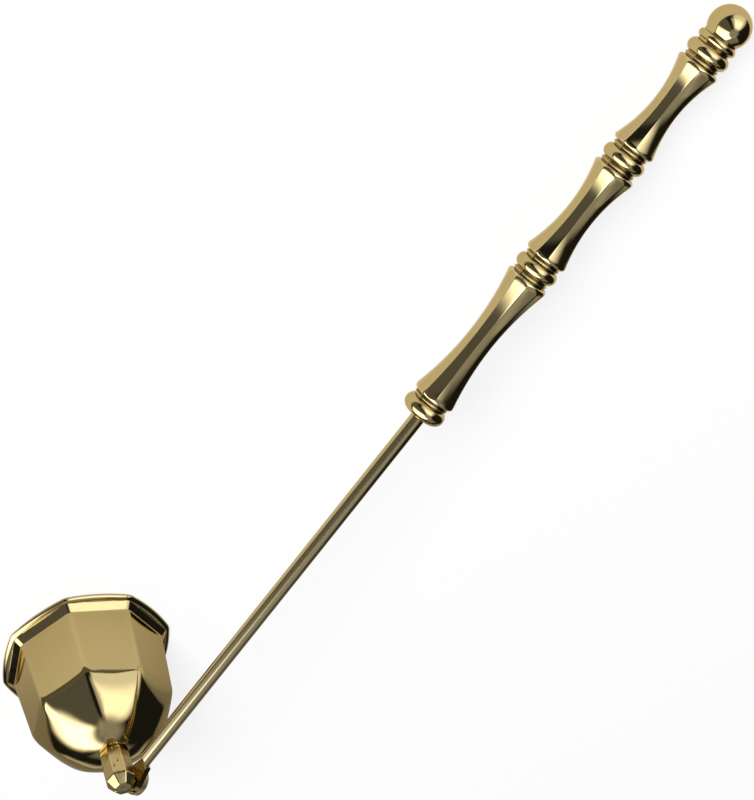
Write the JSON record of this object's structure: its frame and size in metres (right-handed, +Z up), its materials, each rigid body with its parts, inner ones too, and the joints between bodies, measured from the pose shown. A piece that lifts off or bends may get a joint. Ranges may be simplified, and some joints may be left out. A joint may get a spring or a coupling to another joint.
{
  "type": "candle snuffer",
  "caption": "Brass candle snuffer: a faceted domed bell with a flared lip tilts on a side pivot at the end of a slim stem, whose handle has waisted grips, beaded collars and a ball end.",
  "frame": {"origin": "centre of the bell's mouth, on the plane of its rim, with the bell standing on its mouth", "axes": "+Z up along the bell's axis from the mouth to the crown, +X along the stem seen from above, from the bell to the ball end; the ball end rests on z = 0 as the rim does"},
  "size_m": [0.1951, 0.034, 0.0354],
  "materials": {
    "bell_brass": "polished",
    "knob_brass": "polished cast",
    "stem_brass": "drawn and polished",
    "grip_brass": "polished, faceted",
    "collar_brass": "turned and polished",
    "screw_brass": "turned"
  },
  "bodies": {
    "handle": {"stem_rod": "stem_brass", "handle_ferrule": "collar_brass", "lower_grip": "grip_brass", "lower_collar": "collar_brass", "middle_grip": "grip_brass", "upper_collar": "collar_brass", "upper_grip": "grip_brass", "top_collar": "collar_brass", "finial_ball": "collar_brass"},
    "bell": {"bell_cup": "bell_brass", "pivot_knob": "knob_brass", "knob_screw": "screw_brass", "knob_washer": "screw_brass", "pivot_screw": "screw_brass", "pivot_washer": "screw_brass"}
  },
  "joints": [
    {"name": "bell_tilt", "type": "hinge", "parent": "handle", "child": "bell", "pos_m": [0, -0.0033, 0.032], "axis": [0, 1, 0], "range_deg": [-26, 223]}
  ]
}
